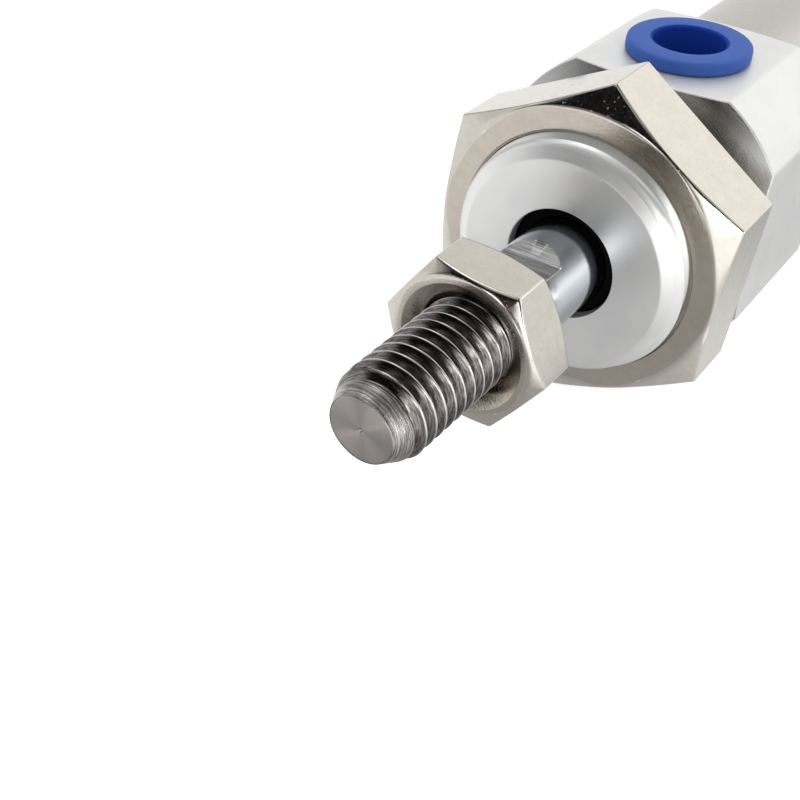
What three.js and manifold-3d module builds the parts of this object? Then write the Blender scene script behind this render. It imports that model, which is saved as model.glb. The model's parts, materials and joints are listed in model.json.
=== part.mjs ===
// A double-acting pneumatic cylinder, 20 mm bore and 50 mm stroke, with its rod drawn in.
//
// Millimetres, +Z up. The origin is on the cylinder's axis, in the plane of the front cover's
// shoulder. +X runs along the axis towards the tip of the rod, and both ports face +Z.
// Angles around the axis are measured from +Y towards +Z.

import * as THREE from 'three';
import { mergeVertices } from 'three/addons/utils/BufferGeometryUtils.js';
import Module from 'manifold-3d';

const wasm = await Module();
wasm.setup();

// ---- Driving dimensions ---------------------------------------------------------------------

const BORE_RADIUS = 10;
const STROKE = 50;
const BODY_LENGTH = 70 + STROKE; // front shoulder to rear shoulder

const ROUND_SIDES = 32; // sides of a large turned piece
const SMALL_SIDES = 24; // sides of a small turned piece

// Covers: a square bar whose corners are turned round.
const COVER_WIDTH = 25;
const COVER_CORNER_RADIUS = 14.5;
const COVER_LENGTH = 18;
const COVER_CHAMFER = 1;
const CHAMFER_RUN = 3; // how far the corner chamfer reaches in from the corner radius
const SPIGOT_LENGTH = 8;
const SPIGOT_RADIUS = BORE_RADIUS - 0.15;
const CHAMBER_PASSAGE_RADIUS = 6.5;
const PORT_SETBACK = 8.5; // from a cover's outer shoulder to its port
const PORT_RADIUS = 4.7;
const PORT_FLOOR = 4; // height of a port's floor above the axis
const LOCK_GROOVE = { start: 1, floorStart: 1.3, floorEnd: 2.7, end: 3, depth: 1 };
const O_RING_GROOVE = { start: 3.6, end: 5.6 };
const O_RING_SECTION = 1.5;
const O_RING_SQUEEZE = 0.1;
const O_RING_POINTS = 8; // points around an O-ring's section

// Barrel: a thin tube rolled into a groove at each cover.
const BARREL_RADIUS = 11;
const ROLL_DEPTH = 0.5;
const ROLL_SETBACK = 2; // from a cover's inner shoulder to the rolled groove
const ROLL_WIDTH = 1.6;
const ROLL_FLOOR_WIDTH = 0.6;
const BARREL_END_GAP = 0.1;

// Nose: M22 x 1.5, drawn at its pitch diameter less half of the running gap.
const NOSE_LENGTH = 12;
const NOSE_RADIUS = 10.36;
const NOSE_FACE_RADIUS = 9.45;
const NOSE_STEP = 1.5; // length of the sloping step behind the face
const NOSE_RIM_SETBACK = 0.6;
const NOSE_RIM_RISE = 0.35;
const NOSE_RELIEF_RADIUS = 9.7;
const NOSE_RELIEF_LENGTH = 2.05;
const NOSE_RELIEF_RUN = 0.6;
const NOSE_HOLE_RADIUS = 5.1;
const SEAL_SEAT_RADIUS = 7.2;
const SEAL_SEAT_FRONT = 10.6;
const SEAL_SEAT_REAR = 5.5;
const BUSH_SEAT_RADIUS = 5.9;
const BUSH_SEAT_REAR = -4.8;
const BUSH_RADIUS = 5.8;
const RUNNING_GAP = 0.08; // between the rod and what guides it
const SEAT_GAP = 0.2; // between a seated piece and the ends of its seat
const SEAT_SIDE_GAP = 0.15;
const LIP_PROUD = 0.5; // how far the wiping lip stands out of its seat
const LIP_RELIEF = 0.4;

// Rod: 8 mm with an M8 x 1.25 end.
const ROD_RADIUS = 4;
const TIP = 40;
const TIP_FACE_RADIUS = 2.7;
const THREAD_PITCH = 1.25;
const THREAD_LENGTH = 20;
const THREAD_ROOT_RADIUS = 3.35;
const FLATS_ACROSS = 6;
const FLATS_START = 17; // the flats end just short of the thread
const FLATS_END = 19.8;
const STUD_RADIUS = 3; // rear stud, M6

// Nuts.
const CORNER_MARGIN = 0.01; // the coning starts this far outside the hexagon's corners
const FACE_INSET = 0.15; // a coned face is smaller than the flats by this much at each side
const SINK_SLOPE = 0.8; // depth of a countersink for each millimetre of its width
const ROD_NUT = {
  across: 13, thickness: 5, rear: 22.5, corner: 114, bore: 4.15, sink: 5.5,
  frontChamfer: 0.65, rearChamfer: 0.65,
};
const MOUNTING_NUT = {
  across: 27, thickness: 7, rear: 2.7, corner: 86, bore: 10.66, sink: 11.2,
  frontChamfer: 1.2, rearChamfer: 0,
};
const LOCK_NUT = {
  across: 10, thickness: 2.4, corner: 90, bore: 3.15, sink: 3.4,
  frontChamfer: 0.4, rearChamfer: 0.4,
};

// Rear lug with its pivot hole along Y.
const LUG_LENGTH = 21;
const LUG_WIDTH = 16;
const LUG_END_RADIUS = 9;
const LUG_HOLE_RADIUS = 4;

// Transit plugs pushed into the ports.
const PLUG_FLANGE_RADIUS = 5.7;
const PLUG_FLANGE_THICKNESS = 1.2;
const PLUG_HOLE_RADIUS = 3.6;
const PLUG_DEPTH = 5.4;
const PLUG_FLOOR = 0.8;
const PLUG_OVERLAP = 0.5; // how far the tapered body reaches into the flange
const PLUG_DRAFT = 0.15;
const PLUG_BODY_TAPER = 0.35;
const PLUG_LIFT = 0.06; // the flange rests this far above the cover's flat

// Piston, clamped on the rod's stud.
const PISTON_LENGTH = 15.8;
const PISTON_RADIUS = 9.7;
const RING_RADIUS = 9.88; // outer radius of what rubs on the bore
const SEAL_GROOVE_RADIUS = 7.3;
const SEAL_GROOVE_WIDTH = 2.6;
const SEAL_GROOVE_SETBACK = 1.9; // from an end of the piston to the nearer seal groove
const PISTON_EDGE_BREAK = 0.4;
const REAR_HALF_LENGTH = 5.9;
const STUD_HOLE_RADIUS = STUD_RADIUS + 0.1;
const STATIC_GROOVE_SETBACK = 3;
const STATIC_GROOVE_WIDTH = 1.8;
const STATIC_GROOVE_RADIUS = STUD_RADIUS + 1.4;
const STATIC_RING_SECTION = 1.2;
const BOSS_RADIUS = 5.4; // the boss that carries the magnet
const NUT_RECESS_RADIUS = 6.2;
const STACK_GAP = 0.1; // between pieces that are stacked on the rod
const MAGNET_WIDTH = 2.2;
const MAGNET_INNER_RADIUS = 5.55;
const MAGNET_OUTER_RADIUS = 8.8;
const WEAR_RING_INNER_RADIUS = 9;
const BUMPER_THICKNESS = 0.9;
const BUMPER_INNER_RADIUS = 6.9;
const BUMPER_OUTER_RADIUS = 9.4;
const BUMPER_GAP = 0.05;
const END_CLEARANCE = 1.1; // between the drawn-in piston and the end of its chamber

const HALF = COVER_WIDTH / 2;
const REAR_SHOULDER = -BODY_LENGTH;
const FRONT_INNER_SHOULDER = -COVER_LENGTH;
const REAR_INNER_SHOULDER = REAR_SHOULDER + COVER_LENGTH;
const CHAMBER_FRONT = FRONT_INNER_SHOULDER - SPIGOT_LENGTH;
const CHAMBER_REAR = REAR_INNER_SHOULDER + SPIGOT_LENGTH;
const PISTON_REAR = CHAMBER_REAR + END_CLEARANCE;
const PISTON_FRONT = PISTON_REAR + PISTON_LENGTH;
const LUG_END = REAR_SHOULDER - LUG_LENGTH;
const LUG_HOLE_STATION = LUG_END + LUG_END_RADIUS;

// ---- Solids ---------------------------------------------------------------------------------

// Turns a closed three.js geometry into a solid that can be cut and joined.
function solid(geometry) {
  geometry.deleteAttribute('normal');
  geometry.deleteAttribute('uv');
  const merged = mergeVertices(geometry, 1e-4);
  const corners = merged.index.array;
  const triangles = [];
  for (let i = 0; i < corners.length; i += 3) {
    const [a, b, c] = corners.subarray(i, i + 3);
    if (a !== b && b !== c && c !== a) triangles.push(a, b, c);
  }
  const mesh = new wasm.Mesh({
    numProp: 3,
    vertProperties: new Float32Array(merged.attributes.position.array),
    triVerts: new Uint32Array(triangles),
  });
  return new wasm.Manifold(mesh);
}

// A body of revolution about X. Its outline is a list of [station, radius] points that starts
// and ends on the axis.
function turned(outline, sides = ROUND_SIDES) {
  const points = outline.map(([station, radius]) => new THREE.Vector2(radius, station));
  if (THREE.ShapeUtils.area(points) < 0) points.reverse();
  const geometry = new THREE.LatheGeometry(points, sides);
  geometry.rotateZ(-Math.PI / 2);
  return solid(geometry);
}

// A ring of revolution: the outline closes on itself and stays off the axis.
function turnedRing(outline, sides = ROUND_SIDES) {
  return turned([...outline, outline[0]], sides);
}

// A plain ring between two stations and two radii.
function ring(rear, front, inner, outer, sides = ROUND_SIDES) {
  return turnedRing([[rear, inner], [rear, outer], [front, outer], [front, inner]], sides);
}

// A plain round bar along X.
function bar(rear, front, radius, sides = ROUND_SIDES) {
  return turned([[rear, 0], [rear, radius], [front, radius], [front, 0]], sides);
}

// A block given by its lowest and highest corners.
function block(low, high) {
  const size = high.map((value, i) => value - low[i]);
  const geometry = new THREE.BoxGeometry(...size);
  geometry.translate(...low.map((value, i) => value + size[i] / 2));
  return solid(geometry);
}

// A round bar along Z between two heights, tapering from one radius to another.
function post(station, bottom, top, bottomRadius, topRadius = bottomRadius) {
  const height = top - bottom;
  const geometry = new THREE.CylinderGeometry(topRadius, bottomRadius, height, SMALL_SIDES);
  geometry.rotateX(Math.PI / 2);
  geometry.translate(station, 0, bottom + height / 2);
  return solid(geometry);
}

// An O-ring around X with a round section.
function oRing(station, innerRadius, section) {
  const outline = [];
  for (let i = 0; i < O_RING_POINTS; i += 1) {
    const angle = (i / O_RING_POINTS) * Math.PI * 2;
    const radius = innerRadius + section / 2 + (section / 2) * Math.cos(angle);
    outline.push([station + (section / 2) * Math.sin(angle), radius]);
  }
  return turnedRing(outline, SMALL_SIDES);
}

// A hexagonal bar along X with one corner at the given angle.
function hexBar(rear, front, across, cornerAngle) {
  const length = front - rear;
  const radius = across / Math.sqrt(3);
  const start = THREE.MathUtils.degToRad(cornerAngle - 90);
  const geometry = new THREE.CylinderGeometry(radius, radius, length, 6, 1, false, start);
  geometry.rotateZ(-Math.PI / 2);
  geometry.translate(rear + length / 2, 0, 0);
  return solid(geometry);
}

// A nut: a hexagon whose corners are coned and whose bore is countersunk at both faces.
function hexNut(nut, rear = nut.rear) {
  const front = rear + nut.thickness;
  const corner = nut.across / Math.sqrt(3) + CORNER_MARGIN;
  const face = nut.across / 2 - FACE_INSET;
  const sinkDepth = (nut.sink - nut.bore) * SINK_SLOPE;
  const cones = turned([
    [rear, 0],
    [rear, nut.rearChamfer > 0 ? face : corner],
    [rear + nut.rearChamfer, corner],
    [front - nut.frontChamfer, corner],
    [front, face],
    [front, 0],
  ]);
  const hole = turned([
    [rear - 1, 0],
    [rear - 1, nut.sink],
    [rear, nut.sink],
    [rear + sinkDepth, nut.bore],
    [front - sinkDepth, nut.bore],
    [front, nut.sink],
    [front + 1, nut.sink],
    [front + 1, 0],
  ]);
  return hexBar(rear, front, nut.across, nut.corner).intersect(cones).subtract(hole);
}

// ---- Covers and barrel ----------------------------------------------------------------------

// The square bar of a cover, its corners turned round and chamfered at both ends.
function coverBlock(rear, front) {
  const inner = COVER_CORNER_RADIUS - CHAMFER_RUN;
  const square = block([rear, -HALF, -HALF], [front, HALF, HALF]);
  const corners = turned([
    [rear, 0],
    [rear, inner],
    [rear + COVER_CHAMFER, COVER_CORNER_RADIUS],
    [front - COVER_CHAMFER, COVER_CORNER_RADIUS],
    [front, inner],
    [front, 0],
  ]);
  return square.intersect(corners);
}

// The spigot that enters the barrel: it holds an O-ring groove and the rolled lock groove.
// "inward" is -1 where the chamber lies towards -X of the shoulder, and +1 the other way.
function spigot(shoulder, inward) {
  const ringFloor = SPIGOT_RADIUS - O_RING_SECTION + O_RING_SQUEEZE / 2;
  const lockFloor = SPIGOT_RADIUS - LOCK_GROOVE.depth;
  const edgeBreak = 0.3;
  const at = (distance) => shoulder + inward * distance;
  return turned([
    [at(-1), 0],
    [at(-1), SPIGOT_RADIUS],
    [at(LOCK_GROOVE.start), SPIGOT_RADIUS],
    [at(LOCK_GROOVE.floorStart), lockFloor],
    [at(LOCK_GROOVE.floorEnd), lockFloor],
    [at(LOCK_GROOVE.end), SPIGOT_RADIUS],
    [at(O_RING_GROOVE.start), SPIGOT_RADIUS],
    [at(O_RING_GROOVE.start), ringFloor],
    [at(O_RING_GROOVE.end), ringFloor],
    [at(O_RING_GROOVE.end), SPIGOT_RADIUS],
    [at(SPIGOT_LENGTH - edgeBreak), SPIGOT_RADIUS],
    [at(SPIGOT_LENGTH), SPIGOT_RADIUS - edgeBreak],
    [at(SPIGOT_LENGTH), 0],
  ]);
}

// The threaded nose, with a stepped face and a relief groove at the shoulder.
function nose() {
  return turned([
    [-1, 0],
    [-1, NOSE_RELIEF_RADIUS],
    [NOSE_RELIEF_LENGTH, NOSE_RELIEF_RADIUS],
    [NOSE_RELIEF_LENGTH + NOSE_RELIEF_RUN, NOSE_RADIUS],
    [NOSE_LENGTH - NOSE_STEP, NOSE_RADIUS],
    [NOSE_LENGTH - NOSE_RIM_SETBACK, NOSE_FACE_RADIUS + NOSE_RIM_RISE],
    [NOSE_LENGTH, NOSE_FACE_RADIUS],
    [NOSE_LENGTH, 0],
  ]);
}

// The threaded port from a cover's top flat down into the air passage.
function portHole(station) {
  return post(station, PORT_FLOOR, HALF + 1, PORT_RADIUS);
}

function frontCover() {
  const rodPassage = turned([
    [NOSE_LENGTH + 1, 0],
    [NOSE_LENGTH + 1, NOSE_HOLE_RADIUS],
    [SEAL_SEAT_FRONT, NOSE_HOLE_RADIUS],
    [SEAL_SEAT_FRONT, SEAL_SEAT_RADIUS],
    [SEAL_SEAT_REAR, SEAL_SEAT_RADIUS],
    [SEAL_SEAT_REAR, BUSH_SEAT_RADIUS],
    [BUSH_SEAT_REAR, BUSH_SEAT_RADIUS],
    [BUSH_SEAT_REAR, CHAMBER_PASSAGE_RADIUS],
    [CHAMBER_FRONT - 1, CHAMBER_PASSAGE_RADIUS],
    [CHAMBER_FRONT - 1, 0],
  ]);
  return coverBlock(FRONT_INNER_SHOULDER, 0)
    .add(nose())
    .add(spigot(FRONT_INNER_SHOULDER, -1))
    .subtract(rodPassage)
    .subtract(portHole(-PORT_SETBACK));
}

// The flat lug behind the rear cover, round at its end, with the pivot hole across it.
function lug() {
  const outline = new THREE.Shape();
  outline.moveTo(REAR_SHOULDER + 1, -LUG_END_RADIUS);
  outline.lineTo(REAR_SHOULDER + 1, LUG_END_RADIUS);
  outline.lineTo(LUG_HOLE_STATION, LUG_END_RADIUS);
  outline.absarc(LUG_HOLE_STATION, 0, LUG_END_RADIUS, Math.PI / 2, Math.PI * 1.5, false);
  const hole = new THREE.Path();
  hole.absarc(LUG_HOLE_STATION, 0, LUG_HOLE_RADIUS, 0, Math.PI * 2, true);
  outline.holes.push(hole);
  const geometry = new THREE.ExtrudeGeometry(outline, {
    depth: LUG_WIDTH,
    bevelEnabled: false,
    curveSegments: 16,
  });
  geometry.rotateX(Math.PI / 2);
  geometry.translate(0, LUG_WIDTH / 2, 0);
  return solid(geometry);
}

function rearCover() {
  const passageEnd = REAR_SHOULDER + PORT_SETBACK - CHAMBER_PASSAGE_RADIUS;
  const airPassage = bar(passageEnd, CHAMBER_REAR + 1, CHAMBER_PASSAGE_RADIUS);
  return coverBlock(REAR_SHOULDER, REAR_INNER_SHOULDER)
    .add(lug())
    .add(spigot(REAR_INNER_SHOULDER, 1))
    .subtract(airPassage)
    .subtract(portHole(REAR_SHOULDER + PORT_SETBACK));
}

// The barrel tube. Its wall is rolled inwards near each end to lock it on the covers.
function barrelTube() {
  const edge = ROLL_WIDTH / 2;
  const floor = ROLL_FLOOR_WIDTH / 2;
  const frontRoll = FRONT_INNER_SHOULDER - ROLL_SETBACK;
  const rearRoll = REAR_INNER_SHOULDER + ROLL_SETBACK;
  const dips = [
    [FRONT_INNER_SHOULDER - BARREL_END_GAP, 0],
    [frontRoll + edge, 0],
    [frontRoll + floor, ROLL_DEPTH],
    [frontRoll - floor, ROLL_DEPTH],
    [frontRoll - edge, 0],
    [rearRoll + edge, 0],
    [rearRoll + floor, ROLL_DEPTH],
    [rearRoll - floor, ROLL_DEPTH],
    [rearRoll - edge, 0],
    [REAR_INNER_SHOULDER + BARREL_END_GAP, 0],
  ];
  const outside = dips.map(([station, dip]) => [station, BARREL_RADIUS - dip]);
  const inside = dips.map(([station, dip]) => [station, BORE_RADIUS - dip]);
  return turnedRing([...outside, ...inside.reverse()]);
}

// ---- Guide, seals and bumpers that stay with the covers ----------------------------------------

function rodBush() {
  const rear = BUSH_SEAT_REAR + SEAT_GAP;
  const front = SEAL_SEAT_REAR - SEAT_GAP;
  return ring(rear, front, ROD_RADIUS + RUNNING_GAP, BUSH_RADIUS, SMALL_SIDES);
}

// The rod seal with its wiping lip, which stands in the hole of the nose's face.
function rodWiperSeal() {
  const heel = SEAL_SEAT_REAR + SEAT_GAP;
  const shoulder = SEAL_SEAT_FRONT - SEAT_GAP;
  const lipFront = SEAL_SEAT_FRONT + LIP_PROUD;
  const lipRear = SEAL_SEAT_FRONT - 0.8;
  const throat = SEAL_SEAT_FRONT - 1.8;
  const lip = ROD_RADIUS + RUNNING_GAP;
  return turnedRing([
    [heel, lip + LIP_RELIEF],
    [heel, SEAL_SEAT_RADIUS - SEAT_SIDE_GAP],
    [shoulder, SEAL_SEAT_RADIUS - SEAT_SIDE_GAP],
    [shoulder, NOSE_HOLE_RADIUS - SEAT_SIDE_GAP],
    [lipFront, NOSE_HOLE_RADIUS - SEAT_GAP],
    [lipFront, lip],
    [lipRear, lip],
    [throat, lip + LIP_RELIEF],
  ], SMALL_SIDES);
}

function coverORing(shoulder, inward) {
  const station = shoulder + (inward * (O_RING_GROOVE.start + O_RING_GROOVE.end)) / 2;
  const section = O_RING_SECTION - O_RING_SQUEEZE;
  const proud = 0.03; // the ring stands this far out of its groove
  return oRing(station, SPIGOT_RADIUS - section + proud, section);
}

function bumper(face, inward) {
  const near = face + inward * BUMPER_GAP;
  const far = near + inward * BUMPER_THICKNESS;
  return ring(Math.min(near, far), Math.max(near, far), BUMPER_INNER_RADIUS, BUMPER_OUTER_RADIUS);
}

// ---- Piston -----------------------------------------------------------------------------------

const MAGNET_REAR = PISTON_REAR + REAR_HALF_LENGTH + STACK_GAP;
const MAGNET_FRONT = MAGNET_REAR + MAGNET_WIDTH;
const FRONT_HALF_REAR = MAGNET_FRONT + STACK_GAP;
const REAR_GROOVE = PISTON_REAR + SEAL_GROOVE_SETBACK;
const FRONT_GROOVE = PISTON_FRONT - SEAL_GROOVE_SETBACK - SEAL_GROOVE_WIDTH;
const NUT_RECESS_FLOOR = PISTON_REAR + LOCK_NUT.thickness + 0.5;
const LOCK_NUT_REAR = PISTON_REAR + 0.4;
const STATIC_GROOVE = PISTON_FRONT - STATIC_GROOVE_SETBACK;

// The half that meets the rod's shoulder. Its boss carries the magnet.
function pistonFrontHalf() {
  const grooveRear = STATIC_GROOVE - STATIC_GROOVE_WIDTH / 2;
  const grooveFront = STATIC_GROOVE + STATIC_GROOVE_WIDTH / 2;
  return turnedRing([
    [PISTON_FRONT, STUD_HOLE_RADIUS],
    [PISTON_FRONT, PISTON_RADIUS - PISTON_EDGE_BREAK],
    [PISTON_FRONT - PISTON_EDGE_BREAK, PISTON_RADIUS],
    [FRONT_GROOVE + SEAL_GROOVE_WIDTH, PISTON_RADIUS],
    [FRONT_GROOVE + SEAL_GROOVE_WIDTH, SEAL_GROOVE_RADIUS],
    [FRONT_GROOVE, SEAL_GROOVE_RADIUS],
    [FRONT_GROOVE, PISTON_RADIUS],
    [FRONT_HALF_REAR, PISTON_RADIUS],
    [FRONT_HALF_REAR, BOSS_RADIUS],
    [MAGNET_REAR, BOSS_RADIUS],
    [MAGNET_REAR, STUD_HOLE_RADIUS],
    [grooveRear, STUD_HOLE_RADIUS],
    [grooveRear, STATIC_GROOVE_RADIUS],
    [grooveFront, STATIC_GROOVE_RADIUS],
    [grooveFront, STUD_HOLE_RADIUS],
  ]);
}

// The half that the lock nut presses on, with a recess for the nut.
function pistonRearHalf() {
  const front = PISTON_REAR + REAR_HALF_LENGTH;
  return turnedRing([
    [front, STUD_HOLE_RADIUS],
    [front, PISTON_RADIUS],
    [REAR_GROOVE + SEAL_GROOVE_WIDTH, PISTON_RADIUS],
    [REAR_GROOVE + SEAL_GROOVE_WIDTH, SEAL_GROOVE_RADIUS],
    [REAR_GROOVE, SEAL_GROOVE_RADIUS],
    [REAR_GROOVE, PISTON_RADIUS],
    [PISTON_REAR + PISTON_EDGE_BREAK, PISTON_RADIUS],
    [PISTON_REAR, PISTON_RADIUS - PISTON_EDGE_BREAK],
    [PISTON_REAR, NUT_RECESS_RADIUS],
    [NUT_RECESS_FLOOR, NUT_RECESS_RADIUS],
    [NUT_RECESS_FLOOR, STUD_HOLE_RADIUS],
  ]);
}

// A piston seal with a lip that leans outwards towards the air it holds back.
function pistonSeal(groove, lipFront) {
  const low = groove + SEAT_SIDE_GAP;
  const high = groove + SEAL_GROOVE_WIDTH - SEAT_SIDE_GAP;
  const lipEnd = lipFront ? high : low;
  const heel = lipFront ? low : high;
  const towardsHeel = Math.sign(heel - lipEnd);
  const foot = SEAL_GROOVE_RADIUS + 0.12;
  const valleyRadius = 8.6;
  const valleyDepth = 0.9;
  const lipThickness = 0.7;
  const lipLean = 0.5;
  return turnedRing([
    [heel, foot],
    [heel, RING_RADIUS - lipLean],
    [lipEnd + towardsHeel * lipLean, RING_RADIUS],
    [lipEnd, RING_RADIUS - 0.1],
    [lipEnd, RING_RADIUS - lipThickness],
    [lipEnd + towardsHeel * valleyDepth, valleyRadius],
    [lipEnd, SEAL_GROOVE_RADIUS + lipThickness],
    [lipEnd, foot],
  ]);
}

function wearRing() {
  return ring(MAGNET_REAR + STACK_GAP, MAGNET_FRONT - STACK_GAP, WEAR_RING_INNER_RADIUS, RING_RADIUS);
}

function magnetRing() {
  return ring(MAGNET_REAR, MAGNET_FRONT, MAGNET_INNER_RADIUS, MAGNET_OUTER_RADIUS);
}

// ---- Rod --------------------------------------------------------------------------------------

// The rod's outline from its stud through the smooth length to the ridges of the thread.
function rodOutline() {
  const shoulder = PISTON_FRONT + STACK_GAP;
  const threadStart = TIP - THREAD_LENGTH;
  const studEnd = PISTON_REAR + 0.2;
  const studChamfer = 0.4;
  const outline = [
    [studEnd, 0],
    [studEnd, STUD_RADIUS - studChamfer],
    [studEnd + studChamfer, STUD_RADIUS],
    [shoulder, STUD_RADIUS],
    [shoulder, ROD_RADIUS],
    [threadStart, ROD_RADIUS],
  ];
  const ridges = Math.floor((THREAD_LENGTH - 1) / THREAD_PITCH);
  for (let i = 0; i < ridges; i += 1) {
    const start = threadStart + i * THREAD_PITCH;
    outline.push([start + THREAD_PITCH / 2, THREAD_ROOT_RADIUS]);
    outline.push([start + THREAD_PITCH, ROD_RADIUS]);
  }
  outline.push([TIP, TIP_FACE_RADIUS]);
  outline.push([TIP, 0]);
  return outline;
}

// Two wrench flats are milled between the thread and the smooth length, above and below.
function pistonRod() {
  const clear = ROD_RADIUS + 1;
  const flat = FLATS_ACROSS / 2;
  const aboveFlat = block([FLATS_START, -clear, flat], [FLATS_END, clear, clear]);
  const belowFlat = block([FLATS_START, -clear, -clear], [FLATS_END, clear, -flat]);
  return turned(rodOutline(), SMALL_SIDES).subtract(aboveFlat).subtract(belowFlat);
}

// ---- Port plug --------------------------------------------------------------------------------

// A hollow push-in plug: a tapered body under a flange, open at the top.
function portPlug(station) {
  const flangeBottom = HALF + PLUG_LIFT;
  const top = flangeBottom + PLUG_FLANGE_THICKNESS;
  const bottom = flangeBottom - PLUG_DEPTH;
  const bodyTop = PORT_RADIUS - PLUG_DRAFT;
  const bodyBottom = bodyTop - PLUG_BODY_TAPER;
  const holeBottom = PLUG_HOLE_RADIUS - PLUG_BODY_TAPER;
  return post(station, flangeBottom, top, PLUG_FLANGE_RADIUS, PLUG_FLANGE_RADIUS - PLUG_DRAFT)
    .add(post(station, bottom, flangeBottom + PLUG_OVERLAP, bodyBottom, bodyTop))
    .subtract(post(station, bottom + PLUG_FLOOR, top + 1, holeBottom, PLUG_HOLE_RADIUS));
}

// ---- Assembly ---------------------------------------------------------------------------------

const FINISHES = {
  aluminium: { color: 0xdcdcd8, roughness: 0.45, metalness: 1 },
  stainless: { color: 0xcec8be, roughness: 0.3, metalness: 1 },
  nickel: { color: 0xd8d1c2, roughness: 0.35, metalness: 1 },
  chrome: { color: 0x8e9098, roughness: 0.12, metalness: 1 },
  bronze: { color: 0xa9855a, roughness: 0.6, metalness: 1 },
  rubber: { color: 0x101010, roughness: 0.7, metalness: 0 },
  magnet: { color: 0x3a3a3c, roughness: 0.6, metalness: 0.5 },
  acetal: { color: 0xe6e2d4, roughness: 0.5, metalness: 0 },
  bluePlastic: { color: 0x2f5fc4, roughness: 0.45, metalness: 0 },
};

const cylinder = new THREE.Group();

// Adds one piece to the assembly as a named mesh with a material of its own.
function place(name, piece, finish) {
  const { vertProperties, triVerts } = piece.getMesh();
  const geometry = new THREE.BufferGeometry();
  geometry.setAttribute('position', new THREE.BufferAttribute(vertProperties, 3));
  geometry.setIndex(new THREE.BufferAttribute(triVerts, 1));
  geometry.computeVertexNormals();
  const material = new THREE.MeshStandardMaterial(FINISHES[finish]);
  const mesh = new THREE.Mesh(geometry, material);
  mesh.name = name;
  cylinder.add(mesh);
}

place('barrel_tube', barrelTube(), 'stainless');
place('front_cover', frontCover(), 'aluminium');
place('rear_cover', rearCover(), 'aluminium');
place('rod_bush', rodBush(), 'bronze');
place('rod_wiper_seal', rodWiperSeal(), 'rubber');
place('front_cover_o_ring', coverORing(FRONT_INNER_SHOULDER, -1), 'rubber');
place('rear_cover_o_ring', coverORing(REAR_INNER_SHOULDER, 1), 'rubber');
place('front_bumper', bumper(CHAMBER_FRONT, -1), 'rubber');
place('rear_bumper', bumper(CHAMBER_REAR, 1), 'rubber');
place('piston_seal_front', pistonSeal(FRONT_GROOVE, true), 'rubber');
place('piston_seal_rear', pistonSeal(REAR_GROOVE, false), 'rubber');
place('wear_ring', wearRing(), 'acetal');
place('piston_front_half', pistonFrontHalf(), 'aluminium');
place('piston_rear_half', pistonRearHalf(), 'aluminium');
place('magnet_ring', magnetRing(), 'magnet');
place('piston_o_ring', oRing(STATIC_GROOVE, STUD_HOLE_RADIUS, STATIC_RING_SECTION), 'rubber');
place('piston_lock_nut', hexNut(LOCK_NUT, LOCK_NUT_REAR), 'nickel');
place('piston_rod', pistonRod(), 'chrome');
place('rod_nut', hexNut(ROD_NUT), 'nickel');
place('mounting_nut', hexNut(MOUNTING_NUT), 'nickel');
place('front_port_plug', portPlug(-PORT_SETBACK), 'bluePlastic');
place('rear_port_plug', portPlug(REAR_SHOULDER + PORT_SETBACK), 'bluePlastic');

export default cylinder;
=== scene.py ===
"""The looks of a double-acting pneumatic cylinder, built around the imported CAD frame.

Shapes are worked out in millimetres in the CAD model's frame: +X runs along the axis to the rod's
tip and +Z is up. Angles round the axis are measured from +Y towards +Z.
"""

import json
import math
from collections import namedtuple

import bmesh
import bpy
import numpy as np
from mathutils import Matrix, Vector


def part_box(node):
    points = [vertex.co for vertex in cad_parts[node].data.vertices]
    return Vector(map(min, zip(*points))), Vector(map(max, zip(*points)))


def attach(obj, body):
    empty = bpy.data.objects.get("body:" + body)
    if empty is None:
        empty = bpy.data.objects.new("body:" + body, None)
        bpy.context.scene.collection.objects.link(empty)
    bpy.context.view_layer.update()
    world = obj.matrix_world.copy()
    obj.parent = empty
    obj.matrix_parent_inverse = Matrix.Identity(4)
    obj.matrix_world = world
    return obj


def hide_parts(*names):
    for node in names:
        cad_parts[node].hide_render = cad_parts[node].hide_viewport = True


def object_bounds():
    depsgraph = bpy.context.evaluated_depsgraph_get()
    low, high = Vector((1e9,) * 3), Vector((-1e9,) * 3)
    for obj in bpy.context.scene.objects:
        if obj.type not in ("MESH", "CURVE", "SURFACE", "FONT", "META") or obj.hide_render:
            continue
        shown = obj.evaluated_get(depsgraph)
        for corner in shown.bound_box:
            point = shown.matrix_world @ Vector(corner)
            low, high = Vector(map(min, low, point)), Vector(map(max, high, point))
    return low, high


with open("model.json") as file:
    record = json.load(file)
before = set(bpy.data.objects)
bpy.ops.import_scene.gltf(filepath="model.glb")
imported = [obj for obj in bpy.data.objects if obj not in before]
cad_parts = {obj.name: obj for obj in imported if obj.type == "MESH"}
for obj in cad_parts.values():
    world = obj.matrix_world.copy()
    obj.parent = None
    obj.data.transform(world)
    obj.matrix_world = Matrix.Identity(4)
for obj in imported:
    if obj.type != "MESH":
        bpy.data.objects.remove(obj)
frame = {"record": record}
cad_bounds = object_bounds()

MM = 0.001
TAU = math.tau
COS30 = math.cos(math.pi / 6)
TINY = 1e-6

# ---- Sizes in millimetres ----

Thread = namedtuple("Thread", "pitch crest root start")

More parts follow.
